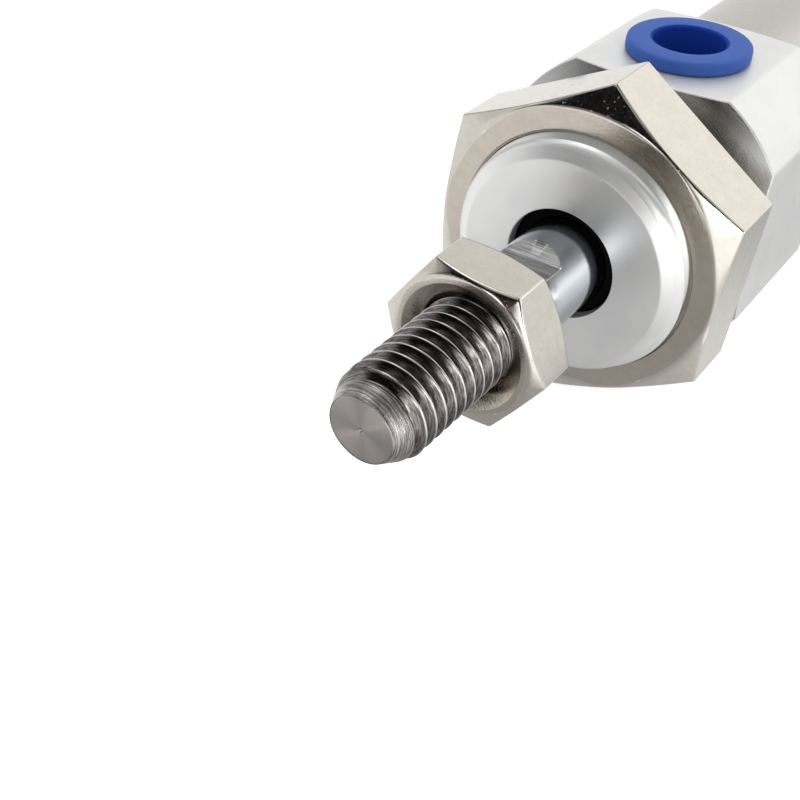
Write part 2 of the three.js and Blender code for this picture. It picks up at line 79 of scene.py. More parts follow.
ROD_RADIUS = 4.0
TIP_FACE_RADIUS = 2.7
TIP_TAPER = 0.5  # how fast the thread's outside grows behind the tip
TIP_BEVEL = 0.06
TIP_BEVEL_RISE = 0.12
TIP_DIMPLE = 0.16
TIP_DIMPLE_RADIUS = 0.22
ROD_THREAD_LENGTH = 20.0
ROD_THREAD_RUN_OUT = 1.1  # how fast the last turn falls from the rod's surface
FLATS_ACROSS = 6.0
FLATS_SETBACK = 23.1  # from the tip to where the flats start to run out
FLATS_LENGTH = 2.9
RUN_OUT_SLOPE = 1.3  # how far a flat runs out for each millimetre of its depth
RUN_OUT_FILLET = 0.22
STUD_RADIUS = 3.0
STUD_LENGTH = 15.7
STUD_END_RADIUS = 2.2
STUD_THREAD_LENGTH = 4.2

COVER_CORNER_RADIUS = 14.5
COVER_FACE_RADIUS = 11.5  # where the corner chamfer meets the end face
COVER_CHAMFER_SLOPE = 1.0 / 3.0
COVER_LENGTH = 18.0
NOSE_FACE_RADIUS = 9.5
NOSE_STEP_RADIUS = 10.42
NOSE_STEP_DEPTH = 0.42
NOSE_TAPER = 0.55
NOSE_HOLE_RADIUS = 5.1
NOSE_RELIEF_RADIUS = 9.7
NOSE_RELIEF_LENGTH = 2.05
SEAL_SEAT_RADIUS = 7.2
SEAL_SEAT_INSET = 0.5  # from the seal's front end to where it meets its seat
SEAL_SEAT_GAP = 0.2
BUSH_SEAT_RADIUS = 5.9
BUSH_SEAT_REAR = -4.8
AIR_PASSAGE_RADIUS = 6.5
PORT_SETBACK = 8.5
PORT_FLOOR = 4.0
PORT_ENTRY = 0.6  # depth of the chamfer at the port's mouth
LUG_WIDTH = 16.0
LUG_END_RADIUS = 9.0
LUG_HOLE_RADIUS = 4.0

SPIGOT_RADIUS = 9.85
SPIGOT_LENGTH = 8.0
SPIGOT_ENTRY = 0.3
SEAL_GROOVE = (3.6, 5.6)  # from the cover's shoulder
SEAL_GROOVE_RADIUS = 8.4
ROLL_GROOVE = (1.0, 3.0)  # where the barrel is rolled in, from the cover's shoulder
ROLL_GROOVE_RADIUS = SPIGOT_RADIUS - 1.0
ROLL_GROOVE_SIDE = 0.3

BARREL_WALL = 1.0
BARREL_ROLL_SETBACK = 1.9
BARREL_ROLL_HALF_WIDTH = 0.8
BARREL_ROLL_DEPTH = 0.5
BARREL_ROLL_POINTS = 13

PLUG_FLANGE = 1.2
PLUG_FLOOR = 0.8
PLUG_HOLE_RADIUS = 3.3
PLUG_HOLE_TAPER = 0.3
PLUG_NECK_RADIUS = 4.2
PLUG_NECK_TAPER = 0.25

THREAD_GAP = 0.06  # between a thread and the nut on it
CORNER_ROUNDING = 0.22  # of the nuts' corners and edges

# ---- Stations from the CAD frame ----


def box_mm(node):
    """Lowest and highest corner of a CAD node at rest, in millimetres."""
    low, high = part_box(node)
    return np.array(low) / MM, np.array(high) / MM


def ends(node):
    """The rear and front stations of a CAD node along the axis."""
    low, high = box_mm(node)
    return low[0], high[0]


def outer_radius(node):
    """The outer radius of a turned CAD node."""
    return box_mm(node)[1][2]


BODY_OF = {
    node: body
    for body, nodes in frame["record"]["behaviour"]["bodies"].items()
    for node in nodes
}
TIP = ends("piston_rod")[1]
ROD_THREAD = Thread(1.25, 3.98, 3.25, TIP - ROD_THREAD_LENGTH)
NOSE_THREAD = Thread(1.5, 10.97, 10.06, 0.0)
STUD_THREAD = Thread(1.0, STUD_RADIUS, 2.4, ends("piston_rod")[0])
PORT_THREAD = Thread(0.907, 4.86, 4.3, 0.0)
COVER_HALF = box_mm("front_cover")[1][1]

# ---- Outlines ----

ROUNDING_STEPS = 3
LONGEST_REACH = 0.45  # the largest share of an edge that one rounding takes


def rounded(points, closed=False):
    """Rounds an outline's corners.

    A point is (station, radius, rounding, band), where band is the material of the stretch that
    starts there. The result has rows of station, radius and band, and always as many of them.
    """
    rows = []
    count = len(points)
    for i, (station, radius, rounding, band) in enumerate(points):
        at_end = not closed and i in (0, count - 1)
        if at_end or rounding == 0:
            rows.append((station, radius, band))
            continue
        here = np.array((station, radius))
        before = np.array(points[i - 1][:2]) - here
        after = np.array(points[(i + 1) % count][:2]) - here
        size_before = max(np.hypot(*before), TINY)
        size_after = max(np.hypot(*after), TINY)
        reach = min(rounding, LONGEST_REACH * size_before, LONGEST_REACH * size_after)
        start = here + before / size_before * reach
        end = here + after / size_after * reach
        for step in range(ROUNDING_STEPS + 1):
            t = step / ROUNDING_STEPS
            point = (1 - t) ** 2 * start + 2 * t * (1 - t) * here + t**2 * end
            rows.append((*point, band if step == ROUNDING_STEPS else points[i - 1][3]))
    return np.array(rows)


# ---- Threads ----

CREST_HALF = 1 / 22
ROOT_HALF = 1 / 12
CREST_EASE = 0.12
ROOT_EASE = 0.16
# Shares of the pitch at which a ridge has points, from its crest to its root.
HALF_RIDGE = (0.0, 0.025, 0.05, 0.075, 0.1, 0.22, 0.36, 0.4, 0.435, 0.468)
RIDGE = np.array(HALF_RIDGE + (0.5,) + tuple(1 - x for x in reversed(HALF_RIDGE[1:])))


def ease(share, width):
    """Clips a share at 0, with a parabola of that half width in place of the corner."""
    return np.where(share > width, share, np.clip(share + width, 0, None) ** 2 / (4 * width))


def thread_stations(thread, angle, low, high):
    """Stations along a thread at one angle, which follow its ridge round the axis."""
    first = math.floor((low - thread.start) / thread.pitch) - 1
    last = math.ceil((high - thread.start) / thread.pitch) + 1
    turns = np.arange(first, last)[:, None] + RIDGE[None, :]
    return np.clip(thread.start + thread.pitch * (turns.ravel() + angle / TAU), low, high)


def thread_radius(thread, stations, angle):
    """Radius of a right-handed 60 degree thread, with a flat crest and a round root."""
    phase = (stations - thread.start) / thread.pitch - angle / TAU
    away = np.abs((phase + 0.5) % 1.0 - 0.5)
    share = (away - CREST_HALF) / (0.5 - CREST_HALF - ROOT_HALF)
    depth = 1 - ease(1 - ease(share, CREST_EASE), ROOT_EASE)
    return thread.crest + (thread.root - thread.crest) * depth


def banded(stations, radii, band):
    """Rows of station, radius and band."""
    return np.column_stack((stations, radii, np.full(len(stations), band)))


# ---- Meshes ----

AXES = {
    "x": ((1, 0, 0), (0, 1, 0), (0, 0, 1)),
    "y": ((0, 1, 0), (0, 0, 1), (1, 0, 0)),
    "z": ((0, 0, 1), (1, 0, 0), (0, 1, 0)),
}
SHARP_ANGLE = math.radians(38)
NEAR_SHARE = 0.3  # an even angle this share of the spacing from an exact one gives way to it
MERGE_DISTANCE = 0.0008
SHORTEST_EDGE = 0.0004


def even_angles(count, extra=()):
    """Evenly spread angles, with some exact ones added in place of their near neighbours."""
    spacing = TAU / count
    wanted = np.array(sorted(angle % TAU for angle in extra))
    kept = [
        angle
        for angle in np.arange(count) * spacing
        if not len(wanted) or np.abs(wanted - angle).min() > spacing * NEAR_SHARE
    ]
    return np.sort(np.concatenate((kept, wanted)))


def revolve(name, section, angles, closed=False, ridge_rows=(), axis="x", centre=(0, 0, 0)):
    """Sweeps a section round an axis: section(angle) gives rows of station, radius and band.

    ridge_rows are (first, last) pairs of rows that follow a thread: each turn they move on by
    one ridge, so the last column meets the first one ridge further on.
    """
    sections = np.array([section(angle) for angle in angles])
    columns, rows = sections.shape[:2]
    stations, radii = sections[..., 0], sections[..., 1]
    around = (radii * np.cos(angles)[:, None], radii * np.sin(angles)[:, None])
    points = np.stack((stations, *around), axis=-1) @ np.array(AXES[axis], float) + centre
    here = np.arange(rows if closed else rows - 1)
    ahead = (here + 1) % rows
    match = np.tile(np.arange(rows), (columns, 1))
    for low, high in ridge_rows:
        direction = 1 if sections[0, high - 1, 0] > sections[0, low, 0] else -1
        match[-1, low:high] = np.clip(match[-1, low:high] + direction * len(RIDGE), low, high - 1)
    column = np.arange(columns)[:, None] * rows
    following = np.roll(column, -1, axis=0) + match
    sides = (column + here, following[:, here], following[:, ahead], column + ahead)
    quads = np.stack(sides, axis=-1).reshape(-1, 4)
    bands = sections[:, here, 2].astype(int).ravel()

    mesh = bpy.data.meshes.new(name)
    mesh.from_pydata((points.reshape(-1, 3) * MM).tolist(), [], quads.tolist())
    mesh.polygons.foreach_set("material_index", bands)
    shape = bmesh.new()
    shape.from_mesh(mesh)
    bmesh.ops.remove_doubles(shape, verts=shape.verts, dist=MERGE_DISTANCE * MM)
    bmesh.ops.dissolve_degenerate(shape, edges=shape.edges, dist=SHORTEST_EDGE * MM)
    bmesh.ops.recalc_face_normals(shape, faces=shape.faces)
    shape.to_mesh(mesh)
    shape.free()
    piece = bpy.data.objects.new(name, mesh)
    bpy.context.scene.collection.objects.link(piece)
    return piece


def combine(piece, tool, operation):
    """Joins a piece with a tool mesh, or cuts it, and removes the tool."""
    modifier = piece.modifiers.new("combine", "BOOLEAN")
    modifier.object = tool
    modifier.operation = operation
    modifier.solver = "EXACT"
    graph = bpy.context.evaluated_depsgraph_get()
    result = bpy.data.meshes.new_from_object(piece.evaluated_get(graph))
    piece.modifiers.clear()
    piece.data = result
    bpy.data.objects.remove(tool)


def dress(piece, node, materials):
    """Shades a piece, gives it its materials and puts it in place of its CAD node."""
    while len(piece.data.materials) < len(materials):
        piece.data.materials.append(None)
    for index, material in enumerate(materials):
        piece.data.materials[index] = material
    piece.data.shade_smooth()
    piece.data.set_sharp_from_angle(angle=SHARP_ANGLE)
    weighted = piece.modifiers.new("weighted normals", "WEIGHTED_NORMAL")
    weighted.keep_sharp = True
    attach(piece, BODY_OF[node])
    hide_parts(node)


def turn(node, outline, materials, sides=96, closed=True, axis="x", centre=(0, 0, 0)):
    """Puts a body of revolution in place of a CAD node. The band is 0 where a point has none."""
    rows = rounded([(*point, 0)[:4] for point in outline], closed)
    angles = even_angles(sides)
    piece = revolve(node + "_finished", lambda angle: rows, angles, closed, (), axis, centre)
    dress(piece, node, materials)


# ---- Material ingredients ----


def add(tree, kind, inputs=None, **settings):
    """Adds a shader node. Inputs are sockets to link, or values to set."""
    made = tree.nodes.new("ShaderNode" + kind)
    for name, value in settings.items():
        setattr(made, name, value)
    for name, value in (inputs or {}).items():
        if isinstance(value, bpy.types.NodeSocket):
            tree.links.new(value, made.inputs[name])
        else:
            made.inputs[name].default_value = value
    return made


def vector_step(tree, operation, first, second=(0, 0, 0)):
    """One step of arithmetic on vectors."""
    return add(tree, "VectorMath", {0: first, 1: second}, operation=operation)


def calculate(tree, operation, first, second):
    """One step of arithmetic."""
    return add(tree, "Math", {0: first, 1: second}, operation=operation).outputs[0]


SOCKETS = {
    "metallic": "Metallic",
    "roughness": "Roughness",
    "anisotropic": "Anisotropic",
    "specular": "Specular IOR Level",
    "subsurface": "Subsurface Weight",
    "subsurface_scale": "Subsurface Scale",
}


def principled(name, colour, **constants):
    """A new material with its constants on the shader's own sockets, and places in millimetres.

    The colour is what a viewer shows that reads no nodes.
    """
    material = bpy.data.materials.new(name)
    material.use_nodes = True
    tree = material.node_tree
    shader = tree.nodes["Principled BSDF"]
    shader.inputs["Base Color"].default_value = (*colour, 1)
    for socket, value in constants.items():
        shader.inputs[SOCKETS[socket]].default_value = value
    coordinates = add(tree, "TexCoord").outputs["Object"]
    where = vector_step(tree, "MULTIPLY", coordinates, [1 / MM] * 3).outputs["Vector"]
    return material, tree, shader, where


def station_mm(tree, where):
    """The X of a place."""
    return add(tree, "SeparateXYZ", {0: where}).outputs["X"]


def noise(tree, where, per_mm, detail, roughness=0.55, stretch=(1, 1, 1), w=None):
    """Noise with about that many bumps in a millimetre."""
    inputs = {
        "Vector": vector_step(tree, "MULTIPLY", where, stretch).outputs["Vector"],
        "Scale": per_mm,
        "Detail": detail,
        "Roughness": roughness,
    }
    if w is not None:
        inputs["W"] = w
    made = add(tree, "TexNoise", inputs, noise_dimensions="3D" if w is None else "4D")
    return made.outputs["Fac"]


def spread(tree, value, low, high, to_low=0.0, to_high=1.0, smooth=True):
    """Maps a value from one range to another, and holds it at the ends."""
    made = add(
        tree,
        "MapRange",
        {"Value": value, "From Min": low, "From Max": high, "To Min": to_low, "To Max": to_high},
        interpolation_type="SMOOTHSTEP" if smooth else "LINEAR",
    )
    return made.outputs["Result"]


def blend_colours(tree, factor, first, second):
    """A colour between two, each a socket or an RGB triple."""
    made = add(tree, "Mix", data_type="RGBA")
    tree.links.new(factor, made.inputs["Factor"])
    for socket, colour in ((made.inputs[6], first), (made.inputs[7], second)):
        if isinstance(colour, bpy.types.NodeSocket):
            tree.links.new(colour, socket)
        else:
            socket.default_value = (*colour, 1)
    return made.outputs[2]


def around_axis(tree, where, grip=0.4):
    """Coordinates for marks that run round the X axis: a vector and W for 4D noise, and radius.

    grip is how fast the marks change along their length.
    """
    across = vector_step(tree, "MULTIPLY", where, (0, 1, 1)).outputs["Vector"]
    radius = vector_step(tree, "LENGTH", across).outputs["Value"]
    unit = vector_step(tree, "NORMALIZE", across).outputs["Vector"]
    turned = add(tree, "SeparateXYZ", {0: unit})
    z = calculate(tree, "MULTIPLY", turned.outputs["Y"], grip)
    w = calculate(tree, "MULTIPLY", turned.outputs["Z"], grip)
    vector = add(tree, "CombineXYZ", {"X": station_mm(tree, where), "Y": radius, "Z": z})
    return vector.outputs[0], w, radius


def ring_marks(tree, where, per_mm, detail, roughness, grip=0.4):
    """Noise drawn out round the X axis."""
    rings, w, _ = around_axis(tree, where, grip)
    return noise(tree, rings, per_mm, detail, roughness, w=w)


NOISE_LOW, NOISE_HIGH = 0.3, 0.7  # where nearly all of a noise pattern lies


def vary(tree, pattern, low=0.0, high=1.0):
    """Maps a noise pattern to a range of values."""
    return spread(tree, pattern, NOISE_LOW, NOISE_HIGH, low, high)


def surface(tree, shader, colour, roughness, *layers):
    """Links a shader's colour and roughness, and adds bumps.

    Each layer is a height socket and the depth of its bumps in millimetres.
    """
    tree.links.new(colour, shader.inputs["Base Color"])
    tree.links.new(roughness, shader.inputs["Roughness"])
    normal = None
    for height, depth in layers:
        inputs = {"Height": height, "Distance": depth * MM, "Strength": 1.0}
        if normal is not None:
            inputs["Normal"] = normal
        normal = add(tree, "Bump", inputs).outputs["Normal"]
    tree.links.new(normal, shader.inputs["Normal"])


QUARTER_TURN = 0.25


def round_grain(tree, shader):
    """Spreads the shader's highlights across rings that run round the X axis."""
    shader.inputs["Anisotropic Rotation"].default_value = QUARTER_TURN
    tangent = add(tree, "Tangent", direction_type="RADIAL", axis="X")
    tree.links.new(tangent.outputs[0], shader.inputs["Tangent"])


def edge_wear_and_highlight(tree):
    """About 1 on convex edges and 0 elsewhere: where rubbed wear and a painted edge highlight go."""
    pointiness = add(tree, "NewGeometry").outputs["Pointiness"]
    return spread(tree, pointiness, 0.52, 0.6)


# ---- Materials ----


def anodised(name, turned, metallic, roughness, shade):
    """Satin anodised aluminium, drawn along the axis, or turned with rings round it."""
    material, tree, shader, where = principled(
        name, (0.80, 0.80, 0.79), metallic=metallic, anisotropic=0.3 if turned else 0.0
    )
    grain = noise(tree, where, 14, 3, 0.6, (1, 1, 1) if turned else (0.08, 1, 1))
    # shade scales the colours; at 0.5, for the chamfer copy, it is painted shade.
    dull = tuple(shade * part for part in (0.83, 0.835, 0.83))
    bright = tuple(shade * part for part in (0.88, 0.88, 0.87))
    tone = vary(tree, noise(tree, where, 0.25, 2))
    colour = blend_colours(tree, tone, dull, bright)
    if turned:
        marks = ring_marks(tree, where, 9, 3, 0.7)
        layers = ((marks, 0.0009), (grain, 0.0005))
        round_grain(tree, shader)
    else:
        marks = grain
        layers = ((grain, 0.0015),)
    rough = vary(tree, marks, roughness, roughness + 0.08)
    surface(tree, shader, colour, rough, *layers)
    return material


NICKEL_TONES = ((0.55, 0.52, 0.468), (0.59, 0.56, 0.505))
NICKEL_TURNED_TONES = ((0.50, 0.45, 0.39), (0.535, 0.485, 0.43))


def nickel(name, turned):
    """Warm nickel plate with faint stains and fine pits, lighter along its edges as rubbed wear and
    painted highlight.
    """
    material, tree, shader, where = principled(
        name, (0.58, 0.54, 0.47), metallic=1.0, anisotropic=0.4 if turned else 0.0
    )
    tone = vary(tree, noise(tree, where, 0.6, 5, 0.65))
    dull, bright = NICKEL_TURNED_TONES if turned else NICKEL_TONES
    stains = noise(tree, where, 2.2, 4, 0.7)
    stained = spread(tree, stains, 0.56, 0.74, 0.0, 0.25)
    plate = blend_colours(tree, tone, dull, bright)
    plate = blend_colours(tree, stained, plate, (0.36, 0.32, 0.27))
    pits = noise(tree, where, 4, 2, 0.5)
    pitted = spread(tree, pits, 0.66, 0.74, 1.0, 0.0)
    if turned:
        marks = ring_marks(tree, where, 7, 4, 0.7, grip=1.2)
        sparkle = noise(tree, where, 3.2, 4, 0.75)
        rough = vary(tree, marks, 0.12, 0.2)
        surface(tree, shader, plate, rough, (marks, 0.0045), (sparkle, 0.02), (pitted, 0.002))
        round_grain(tree, shader)
    else:
        grain = noise(tree, where, 9, 3, 0.65)
        # Lighter on convex edges: partly rubbed wear, partly a painted highlight.
        rubbed_and_lit = blend_colours(tree, edge_wear_and_highlight(tree), plate, (0.74, 0.72, 0.67))
        rough = vary(tree, stains, 0.09, 0.18)
        surface(tree, shader, rubbed_and_lit, rough, (grain, 0.0006), (pitted, 0.009))
    return material


def chrome_rod():
    """Hard chrome, ground round the rod and polished."""
    material, tree, shader, where = principled("hard_chrome", (0.60, 0.61, 0.64), metallic=1.0)
    marks = ring_marks(tree, where, 12, 3, 0.6)
    cloud = noise(tree, where, 0.4, 2)
    colour = blend_colours(tree, cloud, (0.49, 0.51, 0.56), (0.56, 0.58, 0.63))
    surface(tree, shader, colour, vary(tree, marks, 0.09, 0.15), (marks, 0.0006))
    return material


def milled_steel():
    """The wrench flats and their run-outs, with fine cutter lines across the rod."""
    material, tree, shader, where = principled("milled_steel", (0.6, 0.6, 0.62), metallic=1.0)
    lines = noise(tree, where, 7, 3, 0.6, (1, 0.03, 1))
    bright = spread(tree, lines, 0.4, 0.6)
    colour = blend_colours(tree, bright, (0.27, 0.265, 0.265), (0.50, 0.50, 0.50))
    surface(tree, shader, colour, vary(tree, lines, 0.34, 0.44), (lines, 0.02))
    return material


TURNED_FROM, TURNED_BY = 1.9, 1.2  # where, before a thread's end, its steel starts to look turned


def thread_steel(name, thread, end):
    """Cut steel thread: dark streaked flanks, bright crests, and a turned taper before its end."""
    material, tree, shader, where = principled(name, (0.4, 0.38, 0.37), metallic=1.0)
    rings, w, radius = around_axis(tree, where, 0.3)
    torn = noise(tree, rings, 10, 5, 0.75, w=w)
    streak = spread(tree, torn, 0.43, 0.58)
    flank = blend_colours(tree, streak, (0.075, 0.064, 0.061), (0.27, 0.25, 0.245))
    patches = spread(tree, noise(tree, where, 1.6, 3, 0.6), 0.5, 0.75, 0.0, 0.35)
    flank = blend_colours(tree, patches, flank, (0.20, 0.165, 0.16))
    height = spread(tree, radius, thread.root, thread.crest, smooth=False)
    ragged = calculate(tree, "ADD", height, calculate(tree, "MULTIPLY", torn, 0.16))
    crest = spread(tree, ragged, 0.94, 1.08)
    cut = blend_colours(tree, crest, flank, (0.62, 0.61, 0.60))

    taper = spread(tree, station_mm(tree, where), end - TURNED_FROM, end - TURNED_BY)
    lathe = ring_marks(tree, where, 11, 4, 0.7, grip=0.12)
    dark_rings = spread(tree, lathe, 0.42, 0.58)
    turned = blend_colours(tree, dark_rings, (0.17, 0.155, 0.15), (0.52, 0.50, 0.49))
    colour = blend_colours(tree, taper, cut, turned)
    rougher = calculate(tree, "MULTIPLY", taper, 0.03)
    rough = calculate(tree, "ADD", vary(tree, torn, 0.13, 0.26), rougher)
    rings_on_taper = calculate(tree, "MULTIPLY", lathe, taper)
    surface(tree, shader, colour, rough, (torn, 0.004), (rings_on_taper, 0.05))
    return material


def turned_steel():
    """The rod's end face: fine rings from the parting tool."""
    material, tree, shader, where = principled(
        "turned_steel", (0.55, 0.53, 0.52), metallic=1.0, anisotropic=0.96
    )
    marks = ring_marks(tree, where, 11, 3, 0.7, grip=0.15)
    colour = blend_colours(tree, marks, (0.34, 0.315, 0.30), (0.42, 0.39, 0.375))
    surface(tree, shader, colour, vary(tree, marks, 0.3, 0.37), (marks, 0.0015))
    round_grain(tree, shader)
    return material


def stainless():
    """Ground stainless tube with fine rings."""
    material, tree, shader, where = principled(
        "stainless_tube", (0.72, 0.70, 0.67), metallic=1.0, anisotropic=0.5
    )
    marks = ring_marks(tree, where, 8, 4, 0.7, grip=0.6)
    colour = blend_colours(tree, marks, (0.45, 0.435, 0.41), (0.53, 0.515, 0.49))
    surface(tree, shader, colour, vary(tree, marks, 0.22, 0.34), (marks, 0.001))
    round_grain(tree, shader)
    return material


def polymer(name, colour, deep, roughness, grain_depth=0.006, **constants):
    """A moulded plastic or rubber with a fine matt grain."""
    material, tree, shader, where = principled(name, colour, **constants)
    grain = noise(tree, where, 9, 3, 0.6)
    blend = blend_colours(tree, noise(tree, where, 0.5, 2), colour, deep)
    surface(tree, shader, blend, vary(tree, grain, roughness, roughness + 0.12), (grain, grain_depth))
    return material


def turned_metal(name, colour, deep, roughness):
    """A plain turned metal with rings round the axis."""
    material, tree, shader, where = principled(name, colour, metallic=1.0)
    marks = ring_marks(tree, where, 5, 4, 0.7)
    blend = blend_colours(tree, marks, deep, colour)
    surface(tree, shader, blend, vary(tree, marks, roughness, roughness + 0.15), (marks, 0.008))
    return material


COVER_METALS = [
    anodised("anodised_aluminium", turned=False, metallic=0.55, roughness=0.4, shade=0.93),
    anodised("anodised_turned", turned=True, metallic=0.7, roughness=0.34, shade=1.0),
    # A darker copy for the covers' corner chamfers: painted shade standing in for the shaded gap
    # behind the mounting nut.
    anodised("anodised_chamfer_painted_shade", turned=True, metallic=1.0, roughness=0.24, shade=0.5),
]
NICKEL = nickel("nickel_plate", turned=False)
NICKEL_FACE = nickel("nickel_turned_face", turned=True)
ROD_METALS = [
    chrome_rod(),
    milled_steel(),
    thread_steel("rod_thread_steel", ROD_THREAD, TIP),
    turned_steel(),
    thread_steel("stud_thread_steel", STUD_THREAD, 0.0),
]
STAINLESS = stainless()
BLUE_PLASTIC = polymer(
    "blue_polyethylene",
    (0.045, 0.125, 0.47),
    (0.04, 0.11, 0.43),
    0.5,
    specular=0.25,
    subsurface=0.05,
    subsurface_scale=0.002,
)
# A darker copy of the blue plastic for the plug's hole: painted shade in the recess.
BLUE_RECESS_PAINTED_SHADE = polymer(
    "blue_polyethylene_painted_shade", (0.008, 0.045, 0.34), (0.006, 0.038, 0.30), 0.6, specular=0.1
)
RUBBER = polymer("black_rubber", (0.002, 0.002, 0.0022), (0.003, 0.003, 0.003), 0.6, specular=0.06)
ACETAL = polymer("acetal", (0.80, 0.77, 0.68), (0.74, 0.71, 0.62), 0.35)
MAGNET = polymer("bonded_magnet", (0.05, 0.05, 0.052), (0.09, 0.088, 0.085), 0.5, 0.012)
BRONZE = turned_metal("sintered_bronze", (0.56, 0.40, 0.22), (0.40, 0.27, 0.14), 0.4)
PISTON_METAL = turned_metal("piston_aluminium", (0.80, 0.80, 0.79), (0.68, 0.68, 0.67), 0.25)

# ---- Covers and barrel ----

CORNER_TURN = math.acos(COVER_HALF / COVER_CORNER_RADIUS)
COVER_ANGLES = [
    quarter * math.pi / 2 + side * CORNER_TURN for quarter in range(4) for side in (-1, 1)
]
SIDE, TURNED, CHAMFER = range(3)  # bands of the covers, in the order of COVER_METALS


def cover_radius(angle):
    """Distance from the axis to the side of a square bar whose corners are turned round."""
    flat = COVER_HALF / max(abs(math.cos(angle)), abs(math.sin(angle)))
    return min(flat, COVER_CORNER_RADIUS)


def cover_block(rear, front, angle):
    """The block's outline from its rear face to its front face."""
    side = cover_radius(angle)
    run = (side - COVER_FACE_RADIUS) * COVER_CHAMFER_SLOPE
    return [
        (rear, COVER_FACE_RADIUS, 0.2, CHAMFER),
        (rear + run, side, 0.15, SIDE),
        (front - run, side, 0.15, CHAMFER),
        (front, COVER_FACE_RADIUS, 0.2, TURNED),
    ]


def spigot(shoulder, inward):
    """The spigot's outline from its free end to the shoulder, with both of its grooves."""
    steps = (
        (SPIGOT_LENGTH, SPIGOT_RADIUS - SPIGOT_ENTRY),
        (SPIGOT_LENGTH - SPIGOT_ENTRY, SPIGOT_RADIUS),
        (SEAL_GROOVE[1], SPIGOT_RADIUS),
        (SEAL_GROOVE[1], SEAL_GROOVE_RADIUS),
        (SEAL_GROOVE[0], SEAL_GROOVE_RADIUS),
        (SEAL_GROOVE[0], SPIGOT_RADIUS),
        (ROLL_GROOVE[1], SPIGOT_RADIUS),
        (ROLL_GROOVE[1] - ROLL_GROOVE_SIDE, ROLL_GROOVE_RADIUS),
        (ROLL_GROOVE[0] + ROLL_GROOVE_SIDE, ROLL_GROOVE_RADIUS),
        (ROLL_GROOVE[0], SPIGOT_RADIUS),
        (0.0, SPIGOT_RADIUS),
    )
    return [(shoulder + inward * distance, radius, 0.05, SIDE) for distance, radius in steps]


def port_cutter(station):
    """The threaded port and the air passage under it, as a solid that stands on the axis."""
    root = PORT_THREAD.root

    def section(angle):
        stations = thread_stations(PORT_THREAD, angle, PORT_FLOOR, COVER_HALF)
        entry = root + np.clip(stations - (COVER_HALF - PORT_ENTRY), 0, None)
        radii = np.maximum(thread_radius(PORT_THREAD, stations, angle), entry)
        above = COVER_HALF + 1
        bottom = banded([PORT_FLOOR] * 2, [0.0, root], SIDE)
        top = banded([above] * 2, [root + PORT_ENTRY, 0.0], SIDE)
        return np.concatenate((bottom, banded(stations, radii, SIDE), top))

    ridge_rows = [(2, len(section(0.0)) - 2)]
    place = (station, 0, 0)
    return revolve("port_cutter", section, even_angles(64), False, ridge_rows, "z", place)


def front_cover():
    rear, front = ends("front_cover")
    inner_shoulder = -COVER_LENGTH
    step = front - NOSE_STEP_DEPTH
    seal_rear, seal_front = ends("rod_wiper_seal")
    seat_rear = seal_rear - SEAL_SEAT_GAP
    seat_front = seal_front - SEAL_SEAT_INSET + SEAL_SEAT_GAP

    def block(angle):
        return rounded(
            spigot(inner_shoulder, -1)
            + cover_block(inner_shoulder, 0.0, angle)
            + [
                (0.0, NOSE_RELIEF_RADIUS, 0.15, TURNED),
                (NOSE_RELIEF_LENGTH, NOSE_RELIEF_RADIUS, 0, TURNED),
            ]
        )

    def ridges(angle):
        stations = thread_stations(NOSE_THREAD, angle, NOSE_RELIEF_LENGTH, step)
        radii = thread_radius(NOSE_THREAD, stations, angle)
        run_out = NOSE_RELIEF_RADIUS + (stations - NOSE_RELIEF_LENGTH)
        taper = NOSE_STEP_RADIUS + (step - stations) * NOSE_TAPER
        return banded(stations, np.minimum(radii, np.minimum(run_out, taper)), TURNED)

    inside = [
        (step, NOSE_STEP_RADIUS, 0),
        (front, NOSE_FACE_RADIUS, 0.14),
        (front, NOSE_HOLE_RADIUS, 0.12),
        (seat_front, NOSE_HOLE_RADIUS, 0),
        (seat_front, SEAL_SEAT_RADIUS, 0),
        (seat_rear, SEAL_SEAT_RADIUS, 0),
        (seat_rear, BUSH_SEAT_RADIUS, 0.1),
        (BUSH_SEAT_REAR, BUSH_SEAT_RADIUS, 0.1),
        (BUSH_SEAT_REAR, AIR_PASSAGE_RADIUS, 0),
        (rear, AIR_PASSAGE_RADIUS, 0),
    ]
    inside = rounded([(*point, TURNED) for point in inside])
    first = len(block(0.0))
    piece = revolve(
        "front_cover_finished",
        lambda angle: np.concatenate((block(angle), ridges(angle), inside)),
        even_angles(160, COVER_ANGLES),
        closed=True,
        ridge_rows=[(first, first + len(ridges(0.0)))],
    )
    combine(piece, port_cutter(-PORT_SETBACK), "DIFFERENCE")
    dress(piece, "front_cover", COVER_METALS)


def lug(rear_shoulder, rear_end):
    """The flat lug, swept round its pivot hole."""
    station = rear_end + LUG_END_RADIUS
    reach = rear_shoulder + 1 - station
    half = LUG_WIDTH / 2

    def edge(angle):
        if math.sin(angle) <= 0:
            return LUG_END_RADIUS
        across = LUG_END_RADIUS / max(abs(math.cos(angle)), TINY)
        return min(across, reach / math.sin(angle))

    def section(angle):
        inner = [(-half, LUG_HOLE_RADIUS, 0.25, SIDE), (-half, edge(angle), 0.45, SIDE)]
        outer = [(-x, radius, rounding, band) for x, radius, rounding, band in reversed(inner)]
        return rounded(inner + outer, closed=True)

    corner = math.atan2(reach, LUG_END_RADIUS)
    angles = even_angles(96, (corner, math.pi - corner))
    return revolve("lug", section, angles, True, (), "y", (station, 0, 0))


